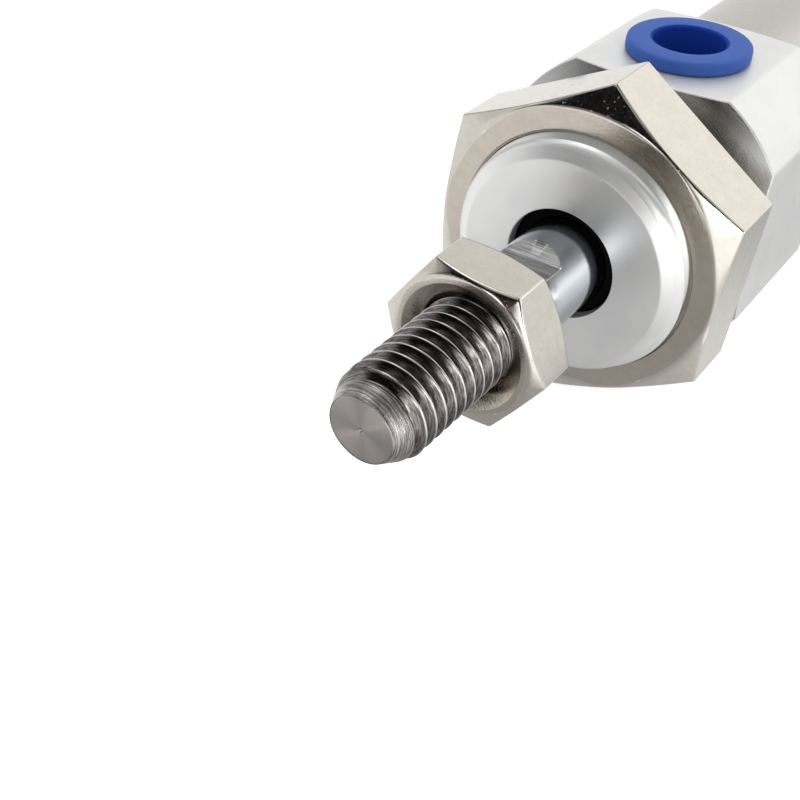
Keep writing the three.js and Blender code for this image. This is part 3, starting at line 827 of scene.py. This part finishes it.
def rear_cover():
    rear_end, front = ends("rear_cover")
    inner_shoulder = front - SPIGOT_LENGTH
    shoulder = inner_shoulder - COVER_LENGTH
    passage_end = shoulder + 2.0

    def section(angle):
        return rounded(
            [
                (passage_end, 0.0, 0, SIDE),
                (passage_end, AIR_PASSAGE_RADIUS, 0.4, SIDE),
                (front, AIR_PASSAGE_RADIUS, 0, SIDE),
                *spigot(inner_shoulder, 1),
                *reversed(cover_block(shoulder, inner_shoulder, angle)),
                (shoulder, 0.0, 0, SIDE),
            ]
        )

    piece = revolve("rear_cover_finished", section, even_angles(128, COVER_ANGLES))
    combine(piece, lug(shoulder, rear_end), "UNION")
    combine(piece, port_cutter(shoulder + PORT_SETBACK), "DIFFERENCE")
    dress(piece, "rear_cover", COVER_METALS)


def barrel_tube():
    rear, front = ends("barrel_tube")
    outside = outer_radius("barrel_tube")
    rolls = (rear + BARREL_ROLL_SETBACK, front - BARREL_ROLL_SETBACK)

    def dip(station):
        away = min(abs(station - roll) for roll in rolls) / BARREL_ROLL_HALF_WIDTH
        return BARREL_ROLL_DEPTH * 0.5 * (1 + math.cos(math.pi * min(away, 1)))

    near = np.linspace(-BARREL_ROLL_HALF_WIDTH, BARREL_ROLL_HALF_WIDTH, BARREL_ROLL_POINTS)
    stations = np.concatenate(([rear], rolls[0] + near, rolls[1] + near, [front]))
    outer = [(x, outside - dip(x), 0) for x in stations]
    inner = [(x, radius - BARREL_WALL, 0) for x, radius, _ in reversed(outer)]
    outer[0] = (rear, outside, 0.2)
    outer[-1] = (front, outside, 0.2)
    turn("barrel_tube", outer + inner, [STAINLESS], 128)


# ---- Rod ----

CHROMED, MILLED, THREADED, END_FACE, STUD = range(5)  # in the order of ROD_METALS


def piston_rod():
    rear, tip = ends("piston_rod")
    stud_front = rear + STUD_LENGTH
    stud_thread_end = rear + STUD_THREAD_LENGTH
    flats_rear = tip - FLATS_SETBACK
    flats_front = flats_rear + FLATS_LENGTH
    half_flat = FLATS_ACROSS / 2
    bevel_radius = TIP_FACE_RADIUS + TIP_BEVEL_RISE

    def stud(angle):
        start = banded([rear, rear], [0.0, STUD_END_RADIUS], STUD)
        stations = thread_stations(STUD_THREAD, angle, rear, stud_thread_end)
        entry = STUD_END_RADIUS + (stations - rear)
        radii = np.minimum(thread_radius(STUD_THREAD, stations, angle), entry)
        return np.concatenate((start, banded(stations, radii, STUD)))

    def shaft(angle):
        upward = max(abs(math.sin(angle)), TINY)
        level = min(ROD_RADIUS, half_flat / upward)
        run_out = max(ROD_RADIUS * upward - half_flat, 0.0) * RUN_OUT_SLOPE
        cut = run_out > 0
        milled = MILLED if cut else CHROMED
        return rounded(
            [
                (stud_thread_end, STUD_RADIUS, 0, CHROMED),
                (stud_front, STUD_RADIUS, 0, CHROMED),
                (stud_front, ROD_RADIUS, 0.15, CHROMED),
                (flats_rear - run_out, ROD_RADIUS, 0, milled),
                (flats_rear, level, RUN_OUT_FILLET if cut else 0.001, milled),
                (flats_front, level, 0, milled),
                (flats_front, ROD_RADIUS, 0, CHROMED),
                (ROD_THREAD.start, ROD_RADIUS, 0, THREADED),
            ]
        )

    def ridges(angle):
        stations = thread_stations(ROD_THREAD, angle, ROD_THREAD.start, tip)
        run_out = ROD_RADIUS - (stations - ROD_THREAD.start) * ROD_THREAD_RUN_OUT
        radii = np.maximum(thread_radius(ROD_THREAD, stations, angle), run_out)
        taper = bevel_radius + (tip - stations) * TIP_TAPER
        return banded(stations, np.minimum(radii, taper), THREADED)

    face = rounded(
        [
            (tip - TIP_BEVEL, bevel_radius, 0, END_FACE),
            (tip, TIP_FACE_RADIUS, 0.04, END_FACE),
            (tip, TIP_DIMPLE_RADIUS, 0.1, END_FACE),
            (tip - TIP_DIMPLE, 0.0, 0, END_FACE),
        ]
    )
    stud_rows = len(stud(0.0))
    first = stud_rows + len(shaft(0.0))
    flat_edge = math.asin(half_flat / ROD_RADIUS)
    piece = revolve(
        "piston_rod_finished",
        lambda angle: np.concatenate((stud(angle), shaft(angle), ridges(angle), face)),
        even_angles(128, [side * flat_edge + half for side in (-1, 1) for half in (0, math.pi)]),
        ridge_rows=[(2, stud_rows), (first, first + len(ridges(0.0)))],
    )
    dress(piece, "piston_rod", ROD_METALS)


# ---- Nuts ----

PLATED, FACED, TAPPED = range(3)  # bands of a nut: its outside, its front face and its bore
NO_CHAMFER = 99  # a radius that no nut reaches
SINK_SLOPE = 0.8  # how far a countersink runs for each millimetre that it opens
NEAR_CORNER = (0.3, 0.6, 1.0)  # shares of a round corner's half width that get an exact angle


def hex_radius(angle, across, corner):
    """Distance from the axis to the side of a hexagonal bar with slightly round corners."""
    off = (angle - corner + math.pi / 6) % (math.pi / 3) - math.pi / 6
    centre = (across / 2 - CORNER_ROUNDING) / COS30
    if abs(off) <= math.atan2(CORNER_ROUNDING / 2, centre + CORNER_ROUNDING * COS30):
        bulge = CORNER_ROUNDING**2 - (centre * math.sin(off)) ** 2
        return centre * math.cos(off) + math.sqrt(bulge)
    return across / 2 / math.cos(math.pi / 6 - abs(off))


def hex_nut(node, corner_degrees, across, thread, bore, sink, front_face, rear_face, slope=0.5):
    """A threaded nut.

    bore and sink are the radii of its hole and its countersinks. front_face and rear_face are
    those where its chamfers meet its faces, and slope is how far a chamfer runs for each
    millimetre that it opens.
    """
    rear, front = ends(node)
    corner = math.radians(corner_degrees)

    def outside(angle):
        side = hex_radius(angle, across, corner)
        front_run = max(side - front_face, 0.0) * slope
        rear_run = max(side - rear_face, 0.0) * slope
        return rounded(
            [
                (rear, sink, 0, FACED),
                (rear, min(rear_face, side) - 0.05, CORNER_ROUNDING, PLATED),
                (rear + rear_run + 0.05, side, CORNER_ROUNDING, PLATED),
                (front - front_run, side, CORNER_ROUNDING, PLATED),
                (front, front_face, CORNER_ROUNDING * 1.6, FACED),
                (front, sink + 0.02, 0.1, TAPPED),
                (front - 0.04, sink - 0.03, 0, TAPPED),
            ]
        )

    def hole(angle):
        stations = thread_stations(thread, angle, rear, front)[::-1]
        radii = np.maximum(thread_radius(thread, stations, angle) + THREAD_GAP, bore)
        from_end = np.minimum(front - stations, stations - rear)
        return banded(stations, np.maximum(radii, sink - from_end / SINK_SLOPE), TAPPED)

    half_corner = math.atan2(CORNER_ROUNDING / 2, across / 2 / COS30)
    shares = [0.0, *NEAR_CORNER, *(-share for share in NEAR_CORNER)]
    exact = [corner + k * math.pi / 3 + share * half_corner for k in range(6) for share in shares]
    first = len(outside(0.0))
    piece = revolve(
        node + "_finished",
        lambda angle: np.concatenate((outside(angle), hole(angle))),
        even_angles(144, exact),
        closed=True,
        ridge_rows=[(first, first + len(hole(0.0)))],
    )
    dress(piece, node, [NICKEL, NICKEL_FACE, NICKEL_FACE])


def nuts():
    hex_nut("rod_nut", 114, 13, ROD_THREAD, bore=3.4, sink=5.5, front_face=6.2, rear_face=6.2)
    hex_nut(
        "mounting_nut", 86, 27, NOSE_THREAD,
        bore=10.2, sink=11.2, front_face=13.3, rear_face=NO_CHAMFER, slope=0.53,
    )
    hex_nut("piston_lock_nut", 90, 10, STUD_THREAD, bore=2.5, sink=3.3, front_face=4.8, rear_face=4.8)


# ---- Plugs ----


def port_plug(node):
    low, high = box_mm(node)
    station = (low[0] + high[0]) / 2
    flange = (high[0] - low[0]) / 2
    bottom, top = low[2], high[2]
    under = top - PLUG_FLANGE
    floor = bottom + PLUG_FLOOR
    outline = [
        (floor, 0.0, 0, 1),
        (floor, PLUG_HOLE_RADIUS - PLUG_HOLE_TAPER, 0.5, 1),
        (top, PLUG_HOLE_RADIUS, 0.25),
        (top, flange - 0.05, 0.35),
        (under, flange, 0.3),
        (under, PLUG_NECK_RADIUS, 0.15),
        (bottom, PLUG_NECK_RADIUS - PLUG_NECK_TAPER, 0.4),
        (bottom, 0.0, 0),
    ]
    # Band 1, the hole's floor and wall, takes the darker blue as painted shade.
    plastics = [BLUE_PLASTIC, BLUE_RECESS_PAINTED_SHADE]
    turn(node, outline, plastics, 128, False, "z", (station, 0, 0))


# ---- Guide, seals and piston ----


def plain_ring(node, inside, material, edges=(0.2, 0.2), sides=128):
    """A ring of rectangular section. edges are the roundings inside and outside."""
    rear, front = ends(node)
    outside = outer_radius(node)
    outline = [
        (rear, inside, edges[0]),
        (rear, outside, edges[1]),
        (front, outside, edges[1]),
        (front, inside, edges[0]),
    ]
    turn(node, outline, [material], sides)


def wiper_seal():
    rear, front = ends("rod_wiper_seal")
    outside = outer_radius("rod_wiper_seal")
    neck = front - 0.7
    heel, lip = 4.5, 4.1
    outline = [
        (rear, heel, 0.2),
        (rear, outside, 0.2),
        (neck, outside, 0.2),
        (neck, 4.95, 0.1),
        (front, 4.9, 0.2),
        (front - 0.25, 4.55, 0.2),
        (front, lip, 0.05),
        (front - 1.3, lip + 0.02, 0.1),
        (front - 2.3, heel, 0.3),
    ]
    turn("rod_wiper_seal", outline, [RUBBER])


def o_ring(node):
    rear, front = ends(node)
    middle = (rear + front) / 2
    half = (front - rear) / 2
    centre = outer_radius(node) - half
    outline = [
        (middle + half * math.sin(angle), centre + half * math.cos(angle), 0)
        for angle in even_angles(24)
    ]
    turn(node, outline, [RUBBER])


def piston_seal(node, lip_in_front):
    """A ring whose two lips open towards one end."""
    rear, front = ends(node)
    outside = outer_radius(node)
    lip, heel, back = (front, rear, -1) if lip_in_front else (rear, front, 1)
    inside = 7.42
    outline = [
        (heel, inside, 0.2),
        (heel, outside - 0.5, 0.3),
        (lip + back * 0.5, outside, 0.2),
        (lip, outside - 0.1, 0.08),
        (lip, outside - 0.7, 0.15),
        (lip + back * 0.9, 8.6, 0.3),
        (lip, inside + 0.58, 0.15),
        (lip, inside, 0.1),
    ]
    turn(node, outline, [RUBBER], 128)


PISTON_BORE = STUD_RADIUS + 0.08
PISTON_ENTRY = 0.4
PISTON_BOSS_RADIUS = 5.4
PISTON_RECESS = (2.9, 6.2)  # depth and radius of the lock nut's recess
PISTON_GROOVE_SETBACK = 1.9
PISTON_GROOVE_WIDTH = 2.6
PISTON_GROOVE_RADIUS = 7.3
STATIC_GROOVE_SETBACK = 3.0
STATIC_GROOVE_HALF = 0.9
STATIC_GROOVE_RADIUS = STUD_RADIUS + 1.4


def seal_groove(front, outside):
    """A piston seal's groove, from its front end to its rear one."""
    rear = front - PISTON_GROOVE_WIDTH
    return [
        (front, outside, 0.08),
        (front, PISTON_GROOVE_RADIUS, 0.1),
        (rear, PISTON_GROOVE_RADIUS, 0.1),
        (rear, outside, 0.08),
    ]


def piston_front_half():
    rear, front = ends("piston_front_half")
    outside = outer_radius("piston_front_half")
    joint = ends("wear_ring")[1] + 0.2
    static = front - STATIC_GROOVE_SETBACK
    outline = [
        (front, PISTON_BORE, 0.15),
        (front, outside - PISTON_ENTRY, 0.1),
        (front - PISTON_ENTRY, outside, 0.1),
        *seal_groove(front - PISTON_GROOVE_SETBACK, outside),
        (joint, outside, 0.08),
        (joint, PISTON_BOSS_RADIUS, 0.1),
        (rear, PISTON_BOSS_RADIUS, 0.2),
        (rear, PISTON_BORE, 0.1),
        (static - STATIC_GROOVE_HALF, PISTON_BORE, 0),
        (static - STATIC_GROOVE_HALF, STATIC_GROOVE_RADIUS, 0.1),
        (static + STATIC_GROOVE_HALF, STATIC_GROOVE_RADIUS, 0.1),
        (static + STATIC_GROOVE_HALF, PISTON_BORE, 0),
    ]
    turn("piston_front_half", outline, [PISTON_METAL], 128)


def piston_rear_half():
    rear, front = ends("piston_rear_half")
    outside = outer_radius("piston_front_half")
    recess_depth, recess_radius = PISTON_RECESS
    outline = [
        (front, PISTON_BORE, 0.15),
        (front, outside, 0.08),
        *seal_groove(rear + PISTON_GROOVE_SETBACK + PISTON_GROOVE_WIDTH, outside),
        (rear + PISTON_ENTRY, outside, 0.1),
        (rear, outside - PISTON_ENTRY, 0.1),
        (rear, recess_radius, 0.15),
        (rear + recess_depth, recess_radius, 0.1),
        (rear + recess_depth, PISTON_BORE, 0.1),
    ]
    turn("piston_rear_half", outline, [PISTON_METAL], 128)


front_cover()
rear_cover()
barrel_tube()
piston_rod()
nuts()
port_plug("front_port_plug")
port_plug("rear_port_plug")
plain_ring("rod_bush", 4.08, BRONZE, sides=96)
wiper_seal()
for ring in ("front_cover_o_ring", "rear_cover_o_ring", "piston_o_ring"):
    o_ring(ring)
for bumper in ("front_bumper", "rear_bumper"):
    plain_ring(bumper, 6.9, RUBBER, (0.25, 0.25), 96)
piston_seal("piston_seal_front", True)
piston_seal("piston_seal_rear", False)
piston_front_half()
piston_rear_half()
plain_ring("wear_ring", 9.0, ACETAL, (0.12, 0.15))
plain_ring("magnet_ring", 5.55, MAGNET, (0.12, 0.15))

# ---- Camera ----

CAMERA_FROM_TIP = Vector((49.300, 36.731, 52.502))
CAMERA_AZIMUTH = math.radians(124.207)
CAMERA_ELEVATION = math.radians(38.901)
CAMERA_ROLL = math.radians(2.603)
CAMERA_LENS = 51.68


def camera():
    data = bpy.data.cameras.new("camera")
    data.lens = CAMERA_LENS
    data.sensor_width = 36
    data.clip_start = 0.005
    data.clip_end = 20
    place = (CAMERA_FROM_TIP + Vector((TIP, 0, 0))) * MM
    azimuth = Matrix.Rotation(CAMERA_AZIMUTH, 4, "Z")
    tilt = Matrix.Rotation(math.pi / 2 - CAMERA_ELEVATION, 4, "X")
    roll = Matrix.Rotation(CAMERA_ROLL, 4, "Z")
    made = bpy.data.objects.new("camera", data)
    made.matrix_world = Matrix.Translation(place) @ azimuth @ tilt @ roll
    bpy.context.scene.collection.objects.link(made)
    bpy.context.scene.camera = made


camera()

# ---- Floor, light and world ----

FLOOR_SIZE = 3.0  # in metres
FLOOR_GAP = 0.05
FLOOR_LIFT = 0.7
DIFFUSE_LIGHT = 0.85
ROOM_TONE = (0.005, 0.005, 0.006)
WHITE = (1, 1, 1, 1)


def distance(tree, where, centre, unit):
    """Distance on the floor from a centre, in units given along X and Y."""
    offset = vector_step(tree, "SUBTRACT", where, (*centre, 0)).outputs["Vector"]
    per_unit = (1 / unit[0], 1 / unit[1], 0)
    scaled = vector_step(tree, "MULTIPLY", offset, per_unit).outputs["Vector"]
    return vector_step(tree, "LENGTH", scaled).outputs["Value"]


def along(tree, where, direction):
    """How far a place lies along a direction."""
    return vector_step(tree, "DOT_PRODUCT", where, direction).outputs["Value"]


def mix_shaders(tree, factor, first, second):
    """One of two shaders, or a mix of them."""
    inputs = {0: factor, 1: first.outputs[0], 2: second.outputs[0]}
    return add(tree, "MixShader", inputs)


def fade(tree, factor, first, second):
    """A number between two, where second is a plain value."""
    inputs = {"Factor": factor, "A": first, "B": second}
    return add(tree, "Mix", inputs, data_type="FLOAT").outputs["Result"]


def floor_glow(tree, where):
    """What polished metal sees of the floor: pale, with painted shadows under the rod and beside the
    barrel, a painted pool of light in front of the rod, painted light at the front right and painted
    shade far off at the front left.
    """
    station = station_mm(tree, where)
    aside = along(tree, where, (-0.25, 1, 0))
    leftward = along(tree, where, (0.9, 1, 0))

    # Painted shadows: the floor dims under the rod and beside the barrel.
    painted_shadow_under_rod = spread(tree, distance(tree, where, (35, 0), (30, 14)), 0.5, 2.2, 0.48, 1.12)
    painted_shadow_beside_barrel = spread(tree, distance(tree, where, (-45, 35), (1, 1)), 15, 60, 0.55, 1.0)
    glow = calculate(tree, "MULTIPLY", painted_shadow_under_rod, painted_shadow_beside_barrel)
    # A painted pool of light on the floor in front of the rod.
    painted_light_pool = spread(tree, distance(tree, where, (95, -12), (1, 1)), 8, 26, 3.5, 0.0)
    glow = calculate(tree, "MAXIMUM", glow, painted_light_pool)

    # Painted light: the floor is brighter at the front right.
    on_right = spread(tree, aside, -2, 7, 0, 1)
    in_front = spread(tree, station, 38, 60, 0, 1)
    glow = fade(tree, calculate(tree, "MULTIPLY", on_right, in_front), glow, 1.75)

    # Painted shade: the floor is dim far off at the front left.
    on_left = spread(tree, aside, -8, 2, 1, 0)
    far_front = spread(tree, station, 120, 160, 0, 1)
    shade = calculate(tree, "MULTIPLY", on_left, far_front)
    shade = calculate(tree, "MULTIPLY", shade, spread(tree, leftward, -20, 30, 0, 1))
    return fade(tree, shade, glow, 0.25)


def floor():
    """A pale floor, lifted towards white for the camera."""
    height = cad_bounds[0].z - FLOOR_GAP * MM
    mesh = bpy.data.meshes.new("floor")
    half = FLOOR_SIZE / 2
    corners = [(-half, -half), (half, -half), (half, half), (-half, half)]
    mesh.from_pydata([(x, y, height) for x, y in corners], [], [(0, 1, 2, 3)])
    piece = bpy.data.objects.new("floor", mesh)
    bpy.context.scene.collection.objects.link(piece)
    material, tree, shader, where = principled(
        "pale_floor", (0.82, 0.82, 0.82), roughness=0.9, specular=0.0
    )
    shader.inputs["Emission Color"].default_value = WHITE
    path = add(tree, "LightPath")
    lift = calculate(tree, "MULTIPLY", path.outputs["Is Camera Ray"], FLOOR_LIFT)
    tree.links.new(lift, shader.inputs["Emission Strength"])
    glow = add(tree, "Emission", {"Color": WHITE, "Strength": floor_glow(tree, where)})
    mixed = mix_shaders(tree, path.outputs["Is Glossy Ray"], shader, glow)
    tree.links.new(mixed.outputs[0], tree.nodes["Material Output"].inputs["Surface"])
    mesh.materials.append(material)


def toward(tree, direction, inner, outer):
    """1 within inner degrees of a direction, and 0 beyond outer."""
    sky = add(tree, "TexCoord").outputs["Generated"]
    cosine = along(tree, sky, Vector(direction).normalized())
    far, near = math.cos(math.radians(outer)), math.cos(math.radians(inner))
    return spread(tree, cosine, far, near)


# Direction, inner and outer degrees and colour of each thing that polished metal reflects.
STUDIO_LIGHTS = (
    ((-1.0, 0.35, 0.4), 26, 56, (1.42, 1.41, 1.39)),  # rear wall
    ((0.3, -1.0, 0.1), 20, 38, (0.9, 0.9, 0.9)),  # left wall
    ((-0.1, -0.4, 0.9), 10, 42, (0.9, 0.9, 0.92)),  # ceiling
    ((-0.05, -0.3, 0.95), 7, 14, (2.6, 2.6, 2.6)),  # lamp
    ((0.0, 0.43, 0.9), 6, 12, (1.2, 1.2, 1.2)),  # second lamp
    ((0.5, -0.05, 0.86), 12, 25, (0.5, 0.5, 0.5)),  # dim ceiling in front
    ((0.1, 0.75, 0.63), 12, 22, (0.6, 0.6, 0.6)),  # upper right wall
    ((0.15, 0.98, 0.0), 7, 15, (9.0, 9.0, 9.0)),  # window at the right
    ((0.985, -0.14, -0.05), 4, 8, (5.0, 5.0, 5.0)),  # lamp behind the camera
    ((0.93, 0.37, 0.05), 8, 16, (1.5, 1.5, 1.5)),  # glow beside the window
    ((0.80, 0.59, 0.0), 9, 17, (6.0, 6.0, 5.9)),  # window at the front right
    ((-0.5, 0.85, 0.1), 30, 41, (1.37, 1.36, 1.34)),  # right wall
    ((-0.8, -0.5, 0.2), 28, 40, (1.02, 1.02, 1.0)),  # pale panel at the rear left
    ((0.97, 0.15, 0.19), 4, 9, (0.10, 0.045, 0.04)),  # brown cloth
)


def studio():
    """A dim room with pale walls and lamps for polished metal, and even light for the rest."""
    world = bpy.data.worlds.new("studio")
    bpy.context.scene.world = world
    world.use_nodes = True
    tree = world.node_tree
    tree.nodes.clear()
    lit = ROOM_TONE
    for direction, inner, outer, colour in STUDIO_LIGHTS:
        lit = blend_colours(tree, toward(tree, direction, inner, outer), lit, colour)
    room = add(tree, "Background", {"Color": lit, "Strength": 1.0})
    soft = add(tree, "Background", {"Color": WHITE, "Strength": DIFFUSE_LIGHT})
    backdrop = add(tree, "Background", {"Color": WHITE, "Strength": 1.0})
    path = add(tree, "LightPath")
    around = mix_shaders(tree, path.outputs["Is Glossy Ray"], soft, room)
    mixed = mix_shaders(tree, path.outputs["Is Camera Ray"], around, backdrop)
    add(tree, "OutputWorld", {"Surface": mixed.outputs[0]})


def softbox(name, place, size, power):
    """A soft area light aimed at the nose."""
    data = bpy.data.lights.new(name, "AREA")
    data.shape = "DISK"
    data.size = size
    data.energy = power
    made = bpy.data.objects.new(name, data)
    made.location = Vector(place)
    made.rotation_mode = "QUATERNION"
    made.rotation_quaternion = (-Vector(place)).to_track_quat("-Z", "Y")
    made.visible_camera = False
    made.visible_glossy = False
    bpy.context.scene.collection.objects.link(made)


floor()
studio()
softbox("key", (-0.15, -0.25, 0.6), size=0.4, power=0.5)
bpy.context.scene.view_settings.view_transform = "Standard"
